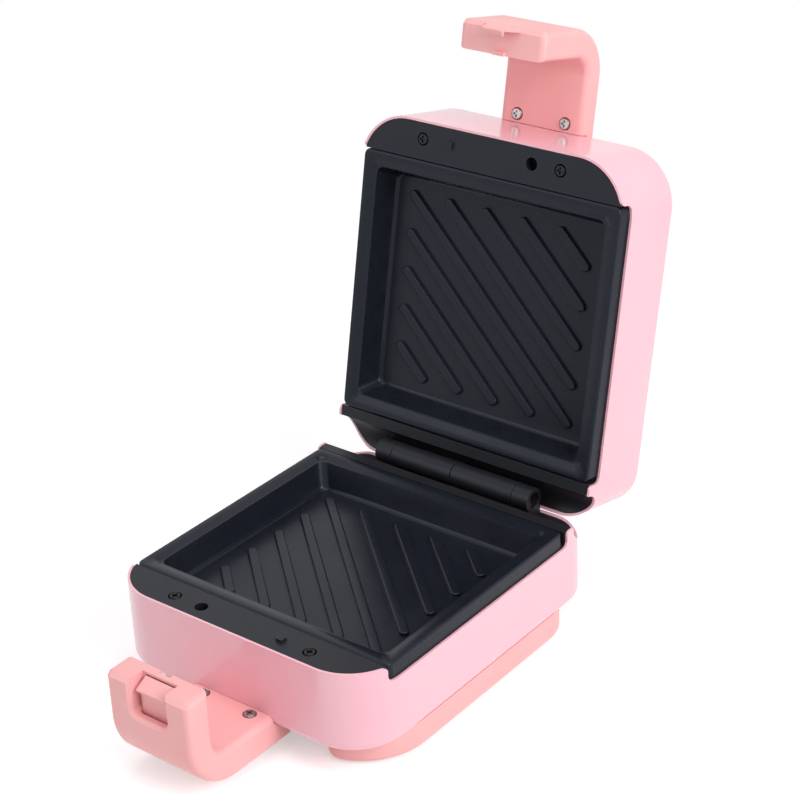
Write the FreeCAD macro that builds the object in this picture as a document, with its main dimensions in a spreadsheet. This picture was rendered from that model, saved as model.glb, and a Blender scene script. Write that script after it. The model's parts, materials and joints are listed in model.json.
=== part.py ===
import FreeCAD, Part
import math
import os
from collections import namedtuple

import Sketcher
from FreeCAD import Placement, Rotation, Vector

os.makedirs("parts", exist_ok=True)

# Sizes in mm and degrees. Each half is drawn in a half frame of its own: the origin is the plate centre on
# the parting plane, X runs along the hinge, Y to the rear, and the half lies below its plane, at negative Z.
SIZES = {
    # stance
    "open_angle": 102.0,
    "plate_centre_back": -16.7,
    "closing_gap": 0.4,
    # shells
    "side_margin": 1.3,
    "front_strip": 17.05,
    "rear_strip": 19.8,
    "shell_wall": 2.0,
    "rim_wall": 1.0,
    "front_corner": 23.5,
    "rear_corner": 17.0,
    "base_depth": 36.0,
    "lid_depth": 41.5,
    "base_edge_round": 4.0,
    "lid_edge_round": 4.5,
    "notch_round": 2.6,
    "notch_lip_round": 2.0,
    "seat_gap": 0.3,
    "stop_gap": 0.3,
    # cooking plates
    "plate_width": 130.0,
    "plate_length": 116.0,
    "flange_drop": 6.6,
    "flange_slope": 0.4,
    "plate_corner": 3.0,
    "rim_round": 1.0,
    "rim_side": 4.1,
    "rim_end": 3.8,
    "ledge_side": 3.0,
    "ledge_end": 3.0,
    "ledge_drop": 1.2,
    "ledge_slope_angle": 62.0,
    "ledge_corner": 4.6,
    "cavity_deep": 12.4,
    "cavity_draft_angle": 17.0,
    "cavity_corner": 4.0,
    "cavity_floor_round": 2.0,
    "plate_floor": 2.5,
    "pan_margin": 0.2,
    "rib_side_margin": 13.3,
    "rib_end_margin": 11.4,
    "rib_pitch_count": 4.71,
    "rib_width": 4.2,
    "rib_height": 1.6,
    "rib_round": 0.7,
    # panels and hinge
    "panel_drop": 0.5,
    "panel_depth": 12.0,
    "hinge_inset": 5.6,
    "barrel_radius": 5.3,
    "barrel_inset": 26.0,
    "barrel_split": 0.5,
    "ring_inset": 8.5,
    "ring_groove": 0.5,
    "barrel_web": 4.0,
    "hinge_pin_radius": 2.0,
    "running_fit": 0.05,
    "pin_head_radius": 3.4,
    "pin_head_height": 1.8,
    "pin_head_recess": 2.6,
    "fitting_inset": 8.05,
    "panel_screw_inset": 31.8,
    "panel_screw_sink": 1.3,
    "key_inset": 45.8,
    "key_size": 3.0,
    "key_height": 1.2,
    "key_socket_radius": 2.8,
    "key_socket_deep": 5.5,
    # handles
    "handle_width": 42.0,
    "finger_room": 32.65,
    "grip_thick": 12.2,
    "handle_lap": 9.05,
    "handle_side_round": 3.0,
    "handle_crook": 8.5,
    "handle_tip_chamfer": 1.9,
    "base_shelf_rise": 5.0,
    "lid_shelf_rise": 6.0,
    "base_handle_thick": 13.9,
    "lid_handle_thick": 10.6,
    "base_handle_round": 24.0,
    "lid_handle_round": 21.0,
    "tab_inset": 5.5,
    "tab_thick": 3.0,
    "tab_reach": 12.0,
    "handle_screw_inset": 8.9,
    "handle_screw_reach": 3.75,
    # latch, its places measured from the front of the handles and from the parting plane
    "notch_inset": 12.0,
    "notch_deep": 16.0,
    "notch_back_inset": 8.3,
    "notch_flare": 1.3,
    "notch_corner": 3.5,
    "latch_inset": 1.7,
    "latch_crown_inset": 8.0,
    "latch_back_inset": 7.1,
    "latch_lip_inset": 2.4,
    "latch_face_inset": 4.6,
    "latch_crown_drop": 1.7,
    "latch_crown_thick": 2.7,
    "latch_lip_drop": 4.8,
    "latch_lip_thick": 0.9,
    "latch_foot_drop": 25.0,
    "latch_pivot_inset": 6.0,
    "latch_pivot_drop": 22.0,
    "latch_pin_radius": 1.2,
    "latch_pin_bite": 2.0,
    "latch_room_back_inset": 10.0,
    "latch_room_front_inset": 3.5,
    "latch_room_deep": 26.5,
    "latch_room_drop": 1.3,
    "latch_side_gap": 0.35,
    "spring_inset": 3.3,
    "spring_thick": 0.35,
    "spring_low": 17.0,
    "spring_middle": 11.0,
    "spring_high": 6.0,
    "hook_inset": 4.0,
    "hook_thick": 1.5,
    "hook_front_inset": 0.3,
    "hook_barb": 1.6,
    "hook_tooth": 1.8,
    "hook_clear": 0.3,
    "hook_root": 5.0,
    "hook_shoulder": 4.0,
    "guide_inset": 6.3,
    "guide_thick": 1.4,
    "guide_reach": 1.5,
    "guide_notch_deep": 2.0,
    # plinth and feet
    "plinth_side_inset": 1.7,
    "plinth_front_inset": 8.55,
    "plinth_rear_inset": 9.1,
    "plinth_height": 12.0,
    "plinth_corner": 30.0,
    "plinth_rear_corner": 20.0,
    "bay_half": 31.4,
    "bay_deep": 22.0,
    "bay_flare": 10.0,
    "bay_flare_deep": 8.4,
    "bay_round": 7.5,
    "core_radius": 10.0,
    "plinth_wall": 2.2,
    "plinth_round": 2.0,
    "plinth_post_radius": 5.0,
    "plinth_screw_side_inset": 17.6,
    "plinth_screw_front_inset": 40.5,
    "plinth_screw_rear_inset": 38.7,
    "plinth_screw_sink": 6.0,
    "foot_radius": 6.0,
    "foot_stand": 1.2,
    "foot_sink": 1.2,
    "foot_side_inset": 19.6,
    "foot_front_inset": 19.5,
    "foot_rear_inset": 14.7,
    # fasteners
    "fit_gap": 0.15,
    "contact_gap": 0.05,
    "screw_radius": 1.4,
    "screw_bite": 7.7,
    "boss_radius": 3.6,
    "boss_hole_deep": 11.0,
    "pan_head_radius": 2.7,
    "pan_head_top_radius": 2.1,
    "pan_head_height": 1.5,
    "pan_head_sink": 0.8,
    "cross_length": 3.0,
    "cross_width": 0.8,
    "cross_deep": 0.8,
    "plate_screw_side_inset": 3.55,
    "plate_screw_end_inset": 20.0,
    "plate_screw_sink": 2.6,
    "plate_screw_hole_deep": 4.0,
    "plate_screw_bite": 3.2,
    # electrical pieces
    "heater_radius": 3.2,
    "heater_side_inset": 27.9,
    "heater_front_gap": 6.0,
    "heater_reach": 1.0,
    "terminal_radius": 1.5,
    "terminal_reach": 7.0,
    "tray_side_inset": 5.9,
    "tray_front_inset": 1.0,
    "tray_rear_inset": 4.0,
    "tray_height": 7.6,
    "tray_sheet": 0.8,
    "tray_corner": 8.0,
    "thermostat_radius": 8.0,
    "thermostat_height": 6.0,
    "fuse_radius": 2.1,
    "fuse_wire_radius": 0.5,
    "fuse_length": 12.0,
    "terminal_block_across": 16.0,
    "terminal_pitch": 10.0,
    "terminal_block_length": 14.0,
    "terminal_block_height": 12.0,
    "terminal_block_inset": 27.8,
    "terminal_entry_height": 4.0,
    "terminal_screw_deep": 4.0,
    "gland_side_inset": 30.3,
    "gland_height": 12.0,
    "gland_neck": 4.8,
    "gland_collar": 7.0,
    "gland_collar_thick": 3.0,
    "gland_bore": 3.2,
    "gland_nut": 6.6,
    "gland_nut_thick": 3.5,
    "lens_radius": 3.4,
    "lens_flange": 4.6,
    "lens_flange_thick": 1.0,
    "lens_length": 4.0,
    "lens_inset": 27.05,
    "lamp_radius": 2.6,
    "lamp_length": 9.0,
}
# Sizes that follow from the ones above, as the sheet works them out
FOLLOWING = {
    "shell_width": "plate_width + 2 * side_margin",
    "shell_front": "plate_length / 2 + front_strip",
    "shell_rear": "plate_length / 2 + rear_strip",
    "hinge_back": "shell_rear - hinge_inset",
    "ledge_width": "plate_width - 2 * rim_side",
    "ledge_length": "plate_length - 2 * rim_end",
    "cavity_width": "ledge_width - 2 * ledge_side",
    "cavity_length": "ledge_length - 2 * ledge_end",
    "rib_field_width": "cavity_width - 2 * rib_side_margin",
    "rib_field_length": "cavity_length - 2 * rib_end_margin",
    "rib_spacing": "rib_field_length / rib_pitch_count",
    "barrel_reach": "shell_width / 2 - barrel_inset",
    "barrel_ring": "barrel_reach - ring_inset",
    "fitting_back": "shell_front - fitting_inset",
    "panel_screw_across": "shell_width / 2 - panel_screw_inset",
    "key_across": "shell_width / 2 - key_inset",
    "handle_inner": "shell_front + finger_room",
    "handle_front": "handle_inner + grip_thick",
    "handle_lap_end": "shell_front - handle_lap",
    "handle_screw_back": "shell_front + handle_screw_reach",
    "handle_screw_across": "handle_width / 2 - handle_screw_inset",
    "base_handle_drop": "base_depth - base_shelf_rise",
    "lid_handle_drop": "lid_depth - lid_shelf_rise",
    "tab_width": "handle_width - 2 * tab_inset",
    "notch_width": "handle_width - 2 * notch_inset",
    "latch_width": "notch_width - 2 * latch_inset",
    "notch_back": "handle_front - notch_back_inset",
    "latch_crown": "handle_front - latch_crown_inset",
    "latch_back": "handle_front - latch_back_inset",
    "latch_lip": "handle_front - latch_lip_inset",
    "latch_face": "handle_front - latch_face_inset",
    "latch_pivot_back": "handle_front - latch_pivot_inset",
    "latch_pin_length": "notch_width + 2 * latch_pin_bite",
    "latch_room_back": "handle_front - latch_room_back_inset",
    "latch_room_front": "handle_front - latch_room_front_inset",
    "spring_width": "latch_width - 2 * spring_inset",
    "hook_width": "notch_width - 2 * hook_inset",
    "hook_front": "handle_front - hook_front_inset",
    "guide_width": "notch_width - 2 * guide_inset",
    "plinth_width": "shell_width - 2 * plinth_side_inset",
    "plinth_front": "shell_front - plinth_front_inset",
    "plinth_rear": "shell_rear - plinth_rear_inset",
    "plinth_screw_across": "plinth_width / 2 - plinth_screw_side_inset",
    "plinth_screw_front": "plinth_front - plinth_screw_front_inset",
    "plinth_screw_rear": "plinth_rear - plinth_screw_rear_inset",
    "feet_across": "plinth_width / 2 - foot_side_inset",
    "feet_front": "plinth_front - foot_front_inset",
    "feet_rear": "plinth_rear - foot_rear_inset",
    "plate_screw_across": "plate_width / 2 - plate_screw_side_inset",
    "plate_screw_along": "plate_length / 2 - plate_screw_end_inset",
    "heater_leg": "cavity_width / 2 - heater_side_inset",
    "heater_end": "cavity_length / 2 + heater_reach",
    "tray_width": "cavity_width - 2 * tray_side_inset",
    "tray_front": "cavity_length / 2 - tray_front_inset",
    "tray_rear": "cavity_length / 2 - tray_rear_inset",
    "heater_bend_front": "tray_front - heater_front_gap - heater_leg",
    "terminal_block_front": "shell_rear - terminal_block_inset",
    "gland_across": "shell_width / 2 - gland_side_inset",
    "gland_drop": "base_depth - gland_height",
    "lens_front": "shell_front - lens_inset",
}
RIB_STEPS = range(-4, 5)
TERMINALS = range(-1, 2)

XY, XZ, YZ = "XY_Plane", "XZ_Plane", "YZ_Plane"
SIDES = (-1, 1)
TOUCH = 1e-4
# A bevel that just clears a quarter round is this many radii wide
BEVEL_OF_ROUND = 2 - math.sqrt(2)

doc = FreeCAD.newDocument("sandwich_press")
sheet = doc.addObject("Spreadsheet::Sheet", "Sheet")


class Size:
    """A size: its value now, and the sheet expression that keeps it up to date."""

    def __init__(self, text, value):
        self.text = text
        self.value = value

    def __add__(self, other):
        other = sized(other)
        return Size("(%s + %s)" % (self.text, other.text), self.value + other.value)

    def __sub__(self, other):
        other = sized(other)
        return Size("(%s - %s)" % (self.text, other.text), self.value - other.value)

    def __mul__(self, other):
        other = sized(other)
        return Size("(%s * %s)" % (self.text, other.text), self.value * other.value)

    def __truediv__(self, other):
        other = sized(other)
        return Size("(%s / %s)" % (self.text, other.text), self.value / other.value)

    def __neg__(self):
        return Size("(-%s)" % self.text, -self.value)


def sized(thing):
    """A plain number as a Size, and a Size as it is."""
    if isinstance(thing, Size):
        return thing
    return Size("%.6f" % thing if thing >= 0 else "(%.6f)" % thing, float(thing))


def cosine(angle):
    return Size("cos(%s)" % angle.text, math.cos(math.radians(angle.value)))


def sine(angle):
    return Size("sin(%s)" % angle.text, math.sin(math.radians(angle.value)))


def root(square):
    return Size("sqrt(%s)" % square.text, math.sqrt(square.value))


class SheetSizes:
    """The sheet's cells, each as a Size under its alias."""

    def __init__(self):
        cells = {name: str(value) for name, value in SIZES.items()}
        cells.update({name: "=" + formula for name, formula in FOLLOWING.items()})
        for row, (name, content) in enumerate(cells.items(), start=1):
            sheet.set("A%d" % row, name)
            sheet.set("B%d" % row, content)
            sheet.setAlias("B%d" % row, name)
        doc.recompute()
        for name in cells:
            setattr(self, name, Size("Sheet." + name, float(sheet.get(name))))


d = SheetSizes()
ZERO = sized(0)
FACE = d.closing_gap / 2
HALF_SHELL = d.shell_width / 2
PLATE_FLOOR = FACE + d.cavity_deep + d.plate_floor
PARTING = d.base_depth + d.plinth_height + d.foot_stand
HALF_HANDLE = d.handle_width / 2
SCREW_HOLE = d.screw_radius + d.fit_gap
# Open, the rear wall of the lid meets the rear edge of the base: the scoop leaves that edge at this drop.
REAR_REACH = d.shell_rear - d.hinge_back
REAR_EDGE_DROP = (REAR_REACH + d.stop_gap - REAR_REACH * cosine(d.open_angle)) / sine(d.open_angle)
SCOOP = root(REAR_REACH * REAR_REACH + REAR_EDGE_DROP * REAR_EDGE_DROP)
# What differs between the two halves
Half = namedtuple("Half", "depth edge_round drop thick grip_round")
BASE_HALF = Half(
    d.base_depth, d.base_edge_round, d.base_handle_drop, d.base_handle_thick, d.base_handle_round
)
LID_HALF = Half(
    d.lid_depth, d.lid_edge_round, d.lid_handle_drop, d.lid_handle_thick, d.lid_handle_round
)


# Drawing tools
def bind(thing, name, value):
    thing.setExpression(name, sized(value).text)


def new_body(name):
    body = doc.addObject("PartDesign::Body", name)
    body.Label = name
    return body


def new_sketch(body, plane, start):
    """An empty sketch, start mm from one of the body's planes (up, right or to the front)."""
    sketch = body.newObject("Sketcher::SketchObject", "Sketch")
    support = next(f for f in body.Origin.OriginFeatures if f.Role == plane)
    sketch.AttachmentSupport = (support, [""])
    sketch.MapMode = "FlatFace"
    bind(sketch, "AttachmentOffset.Base.z", start)
    return sketch


def spot(point):
    return Vector(sized(point[0]).value, sized(point[1]).value, 0)


def hold(sketch, constraint, value):
    index = sketch.addConstraint(constraint)
    sketch.setExpression("Constraints[%d]" % index, sized(value).text)


def hold_point(sketch, line, end, point):
    for kind, value in zip(("DistanceX", "DistanceY"), point):
        hold(sketch, Sketcher.Constraint(kind, -1, 1, line, end, sized(value).value), value)


def draw_loop(sketch, corners):
    first = sketch.GeometryCount
    count = len(corners)
    for n in range(count):
        sketch.addGeometry(Part.LineSegment(spot(corners[n]), spot(corners[(n + 1) % count])), False)
    for n in range(count):
        sketch.addConstraint(Sketcher.Constraint("Coincident", first + n, 2, first + (n + 1) % count, 1))
    for n in range(count):
        hold_point(sketch, first + n, 1, corners[n])


def draw_circle(sketch, centre, radius):
    value = sized(radius).value
    ring = sketch.addGeometry(Part.Circle(spot(centre), Vector(0, 0, 1), value), False)
    hold_point(sketch, ring, 3, centre)
    hold(sketch, Sketcher.Constraint("Radius", ring, value), radius)


def draw_slot(sketch, start, end, radius):
    """A bar with round ends between two points."""
    a, b = spot(start), spot(end)
    value = sized(radius).value
    along = b - a
    turn = math.atan2(along.y, along.x)
    across = Vector(-math.sin(turn), math.cos(turn), 0) * value
    quarter = math.pi / 2
    upward = Vector(0, 0, 1)
    first_circle = Part.Circle(a, upward, value)
    last_circle = Part.Circle(b, upward, value)
    first = sketch.addGeometry(Part.ArcOfCircle(first_circle, turn + quarter, turn + quarter + math.pi))
    low = sketch.addGeometry(Part.LineSegment(a - across, b - across))
    last = sketch.addGeometry(Part.ArcOfCircle(last_circle, turn - quarter, turn + quarter))
    high = sketch.addGeometry(Part.LineSegment(b + across, a + across))
    for one, other in ((first, low), (low, last), (last, high), (high, first)):
        sketch.addConstraint(Sketcher.Constraint("Tangent", one, 2, other, 1))
    for ring, centre in ((first, start), (last, end)):
        hold_point(sketch, ring, 3, centre)
        hold(sketch, Sketcher.Constraint("Radius", ring, value), radius)


def draw_rounded(sketch, left, right, front, rear, front_radius, rear_radius):
    """A rectangle with one radius for its two front corners and one for its two rear corners."""
    quarter = math.pi / 2
    corners = [
        (right - front_radius, front + front_radius, front_radius),
        (right - rear_radius, rear - rear_radius, rear_radius),
        (left + rear_radius, rear - rear_radius, rear_radius),
        (left + front_radius, front + front_radius, front_radius),
    ]
    curves = []
    turn = -quarter
    for x, y, radius in corners:
        circle = Part.Circle(spot((x, y)), Vector(0, 0, 1), radius.value)
        curves.append(Part.ArcOfCircle(circle, turn, turn + quarter))
        turn += quarter
    arcs = [sketch.addGeometry(curve) for curve in curves]
    for n, arc in enumerate(arcs):
        following = (n + 1) % len(arcs)
        side = sketch.addGeometry(Part.LineSegment(curves[n].EndPoint, curves[following].StartPoint))
        sketch.addConstraint(Sketcher.Constraint("Tangent", arc, 2, side, 1))
        sketch.addConstraint(Sketcher.Constraint("Tangent", side, 2, arcs[following], 1))
    for arc, (x, y, radius) in zip(arcs, corners):
        hold_point(sketch, arc, 3, (x, y))
        hold(sketch, Sketcher.Constraint("Radius", arc, radius.value), radius)


# Profiles: each is a function that draws itself on a sketch
def polygon(corners):
    return lambda sketch: draw_loop(sketch, corners)


def rectangle(left, right, front, rear):
    return polygon([(left, front), (right, front), (right, rear), (left, rear)])


def rounded(left, right, front, rear, front_radius, rear_radius):
    return lambda sketch: draw_rounded(sketch, left, right, front, rear, front_radius, rear_radius)


def discs(centres, radius):
    return lambda sketch: [draw_circle(sketch, centre, radius) for centre in centres]


def extrude(kind, body, sketch, length, back):
    feature = body.newObject("PartDesign::" + kind, kind)
    feature.Profile = sketch
    feature.Reversed = back
    bind(feature, "Length", length)
    return feature


def add(body, plane, profile, start, length, back=False):
    """Add a prism that grows away from its plane: up, right or to the front, or the other way if back."""
    sketch = new_sketch(body, plane, start)
    profile(sketch)
    return extrude("Pad", body, sketch, length, back)


def cut(body, plane, profile, start, length, back=False):
    """Cut a prism that goes down, left or to the rear of its plane, or the other way if back."""
    sketch = new_sketch(body, plane, start)
    profile(sketch)
    return extrude("Pocket", body, sketch, length, back)


def dress(kind, body, name, value, wanted):
    """Round or bevel the body's edges that wanted picks."""
    doc.recompute()
    before = body.Tip
    edges = enumerate(before.Shape.Edges, start=1)
    names = ["Edge%d" % n for n, edge in edges if wanted(edge)]
    if not names:
        raise RuntimeError("no edge to dress on " + body.Label)
    feature = body.newObject("PartDesign::" + kind, kind)
    feature.Base = (before, names)
    bind(feature, name, value)


def fillet(body, radius, wanted):
    dress("Fillet", body, "Radius", radius, wanted)


def chamfer(body, size, wanted):
    dress("Chamfer", body, "Size", size, wanted)


# Picking edges
def near(value, size):
    return abs(value - sized(size).value) < TOUCH


def runs_along(edge, axis):
    if not isinstance(edge.Curve, Part.Line):
        return False
    return abs(edge.Curve.Direction.dot(axis)) > 1 - TOUCH


def level(edge, height):
    box = edge.BoundBox
    return near(box.ZMin, height) and near(box.ZMax, height)


def crease_at(edge, back, height):
    """An edge along X at this place."""
    middle = edge.CenterOfMass
    return runs_along(edge, Vector(1, 0, 0)) and near(middle.y, back) and near(middle.z, height)


def both_sides(across, back):
    return [(across * side, back) for side in SIDES]


def four_around(across, front, rear):
    return both_sides(across, -front) + both_sides(across, rear)


# Shells
def shell(name, half):
    body = new_body(name)
    depth, edge_round, wall_top = half.depth, half.edge_round, -FACE
    front, rear = -d.shell_front, d.shell_rear
    outside = rounded(-HALF_SHELL, HALF_SHELL, front, rear, d.front_corner, d.rear_corner)
    add(body, XY, outside, wall_top, depth - FACE, back=True)
    fillet(body, edge_round, lambda e: level(e, -depth))
    wall = d.shell_wall
    inner_front, inner_rear = front + wall, rear - wall
    front_corner, rear_corner = d.front_corner - wall, d.rear_corner - wall
    inner = HALF_SHELL - wall
    inside = rounded(-inner, inner, inner_front, inner_rear, front_corner, rear_corner)
    cut(body, XY, inside, wall_top, depth - FACE - wall)
    # thinner rim around the panel, which rests on the step below it
    rim = d.rim_wall
    inner, rim_front, rim_rear = HALF_SHELL - rim, front + rim, rear - rim
    rim_room = rounded(-inner, inner, rim_front, rim_rear, d.front_corner - rim, d.rear_corner - rim)
    cut(body, XY, rim_room, wall_top, d.panel_depth - FACE)
    # side notches that the plate's flange hangs over
    notch_end = d.plate_length / 2 + d.seat_gap * 2
    notch_low = -d.flange_drop - d.seat_gap
    cut(body, YZ, rectangle(-notch_end, notch_end, notch_low, d.seat_gap), HALF_SHELL * 2, HALF_SHELL * 4)
    fillet(body, d.notch_round, lambda e: any(crease_at(e, notch_end * s, notch_low) for s in SIDES))
    fillet(body, d.notch_lip_round, lambda e: any(crease_at(e, notch_end * s, wall_top) for s in SIDES))
    cut(body, YZ, discs([(d.hinge_back, ZERO)], SCOOP), HALF_SHELL * 2, HALF_SHELL * 4)
    # tab that the handle slides over
    tab = rectangle(-d.tab_width / 2, d.tab_width / 2, front - d.tab_reach, inner_front + edge_round)
    add(body, XY, tab, -depth, d.tab_thick)
    handle_screws = both_sides(d.handle_screw_across, -d.handle_screw_back)
    cut(body, XY, discs(handle_screws, SCREW_HOLE), d.tab_thick - depth, d.tab_thick)
    # posts for the panel's screws
    posts = both_sides(d.panel_screw_across, -d.fitting_back)
    post_length = depth - d.panel_depth - d.shell_wall / 2
    add(body, XY, discs(posts, d.boss_radius), -d.panel_depth, post_length, back=True)
    cut(body, XY, discs(posts, SCREW_HOLE), -d.panel_depth, d.boss_hole_deep)
    return body


def make_base_shell():
    body = shell("base_shell", BASE_HALF)
    screws = four_around(d.plinth_screw_across, d.plinth_screw_front, d.plinth_screw_rear)
    add(body, XY, discs(screws, d.boss_radius), d.shell_wall / 2 - d.base_depth, d.boss_hole_deep)
    cut(body, XY, discs(screws, SCREW_HOLE), -d.base_depth, d.boss_hole_deep, back=True)
    hole = [(d.gland_across, -d.gland_drop)]
    cut(body, XZ, discs(hole, d.gland_neck + d.fit_gap), -d.shell_rear, d.shell_wall * 2, back=True)
    return body


def make_lid_shell():
    body = shell("lid_shell", LID_HALF)
    hole = [(ZERO, -d.lens_front)]
    cut(body, XY, discs(hole, d.lens_radius + d.fit_gap), -d.lid_depth, d.shell_wall * 2, back=True)
    return body


# Cooking plates
def plate(name):
    body = new_body(name)
    half_width, half_length = d.plate_width / 2, d.plate_length / 2
    rim_half = half_width - d.flange_slope
    low = -d.flange_drop
    flange = [(-half_width, low), (half_width, low), (rim_half, -FACE), (-rim_half, -FACE)]
    add(body, XZ, polygon(flange), -half_length, d.plate_length)
    across = Vector(0, 1, 0)
    slanted = lambda e: not level(e, -FACE) and not level(e, -d.flange_drop) and not runs_along(e, across)
    fillet(body, d.plate_corner, slanted)
    fillet(body, d.rim_round, lambda e: level(e, -FACE))
    # pan that hangs through the panel
    pan_width, pan_length = d.cavity_width / 2 + d.pan_margin, d.cavity_length / 2 + d.pan_margin
    pan = rounded(-pan_width, pan_width, -pan_length, pan_length, d.cavity_corner, d.cavity_corner)
    add(body, XY, pan, -d.flange_drop, PLATE_FLOOR - d.flange_drop, back=True)
    ledge_half, ledge_back = d.ledge_width / 2, d.ledge_length / 2
    ledge = rounded(-ledge_half, ledge_half, -ledge_back, ledge_back, d.ledge_corner, d.ledge_corner)
    border = cut(body, XY, ledge, -FACE, d.ledge_drop)
    bind(border, "TaperAngle", -d.ledge_slope_angle)
    # cavity with sloping walls
    ledge_top = -FACE - d.ledge_drop
    wide, long = d.cavity_width / 2, d.cavity_length / 2
    cavity = cut(body, XY, rectangle(-wide, wide, -long, long), ledge_top, d.cavity_deep - d.ledge_drop)
    bind(cavity, "TaperAngle", -d.cavity_draft_angle)
    floor = -FACE - d.cavity_deep
    sloping = lambda e: near(e.BoundBox.ZMin, floor) and near(e.BoundBox.ZMax, ledge_top)
    fillet(body, d.cavity_corner, sloping)
    fillet(body, d.cavity_floor_round, lambda e: level(e, floor))
    # ribs parallel to the diagonal of their field, cut off at its border
    ribs = new_sketch(body, XY, floor)
    field_x, field_y = d.rib_field_width / 2, d.rib_field_length / 2
    for step in RIB_STEPS:
        rise = d.rib_spacing * abs(step)
        run = rise * d.rib_field_width / d.rib_field_length
        if step >= 0:
            ends = (run - field_x, field_y), (field_x, rise - field_y)
        else:
            ends = (-field_x, field_y - rise), (field_x - run, -field_y)
        draw_slot(ribs, ends[0], ends[1], d.rib_width / 2)
    extrude("Pad", body, ribs, d.rib_height, False)
    fillet(body, d.rib_round, lambda e: level(e, floor + d.rib_height))
    screws = four_around(d.plate_screw_across, d.plate_screw_along, d.plate_screw_along)
    cut(body, XY, discs(screws, SCREW_HOLE), -d.flange_drop, d.plate_screw_hole_deep, back=True)
    return body


# Panels: bezel, hinge knuckle, locating peg and socket
def panel(name):
    body = new_body(name)
    inset = d.rim_wall + d.fit_gap
    outside = HALF_SHELL - inset
    front, rear = inset - d.shell_front, d.shell_rear - inset
    front_corner, rear_corner = d.front_corner - inset, d.rear_corner - inset
    depth = d.panel_depth - d.panel_drop
    outline = rounded(-outside, outside, front, rear, front_corner, rear_corner)
    add(body, XY, outline, -d.panel_drop, depth, back=True)
    seat_end = d.plate_length / 2 + d.seat_gap
    seat = rectangle(-HALF_SHELL, HALF_SHELL, -seat_end, seat_end)
    cut(body, XY, seat, -d.panel_drop, d.flange_drop - d.panel_drop)
    hole_x = d.cavity_width / 2 + d.pan_margin + d.seat_gap
    hole_y = d.cavity_length / 2 + d.pan_margin + d.seat_gap
    cut(body, XY, rectangle(-hole_x, hole_x, -hole_y, hole_y), -d.flange_drop, d.panel_depth)
    cut(body, YZ, discs([(d.hinge_back, ZERO)], SCOOP), HALF_SHELL * 2, HALF_SHELL * 4)
    # half of the hinge barrel on its web
    inner_end = d.barrel_split / 2
    length = d.barrel_reach - inner_end
    axis = [(d.hinge_back, ZERO)]
    web = rectangle(d.hinge_back - d.barrel_web, rear, -SCOOP - d.shell_wall / 2, ZERO)
    add(body, YZ, web, inner_end, length)
    add(body, YZ, discs(axis, d.barrel_radius), inner_end, length)
    ring = new_sketch(body, YZ, d.barrel_ring + d.ring_groove)
    draw_circle(ring, axis[0], d.barrel_radius - d.ring_groove)
    draw_circle(ring, axis[0], d.barrel_radius)
    extrude("Pocket", body, ring, d.ring_groove, False)
    cut(body, YZ, discs(axis, d.hinge_pin_radius + d.running_fit), d.barrel_reach, d.barrel_reach)
    cut(body, YZ, discs(axis, d.pin_head_radius + d.fit_gap), d.barrel_reach, d.pin_head_recess)
    # front strip
    screws = both_sides(d.panel_screw_across, -d.fitting_back)
    cut(body, XY, discs(screws, d.pan_head_radius + d.fit_gap), -d.panel_drop, d.panel_screw_sink)
    cut(body, XY, discs(screws, SCREW_HOLE), -d.panel_drop, d.panel_depth)
    half_key = d.key_size / 2
    key_x, key_y = d.key_across, -d.fitting_back
    key = rectangle(key_x - half_key, key_x + half_key, key_y - half_key, key_y + half_key)
    add(body, XY, key, -d.panel_drop - d.shell_wall, d.key_height + d.shell_wall)
    cut(body, XY, discs([(-key_x, key_y)], d.key_socket_radius), -d.panel_drop, d.key_socket_deep)
    # sunk holes for the plate's screws, from below
    plate_screws = four_around(d.plate_screw_across, d.plate_screw_along, d.plate_screw_along)
    head_room = discs(plate_screws, d.pan_head_radius + d.fit_gap)
    cut(body, XY, discs(plate_screws, SCREW_HOLE), -d.panel_depth, d.panel_depth - d.flange_drop, back=True)
    cut(body, XY, head_room, -d.panel_depth, d.plate_screw_sink, back=True)
    return body


def make_hinge_pin():
    body = new_body("hinge_pin")
    axis = [(d.hinge_back, ZERO)]
    seat = d.barrel_reach - d.pin_head_recess
    add(body, YZ, discs(axis, d.hinge_pin_radius), d.pin_head_recess - d.barrel_reach, seat * 2)
    add(body, YZ, discs(axis, d.pin_head_radius), seat, d.pin_head_height)
    half_slot = d.cross_width / 2
    reach = d.hinge_pin_radius
    slot = rectangle(d.hinge_back - half_slot, d.hinge_back + half_slot, -reach, reach)
    cut(body, YZ, slot, seat + d.pin_head_height, d.cross_deep)
    return body


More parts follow.
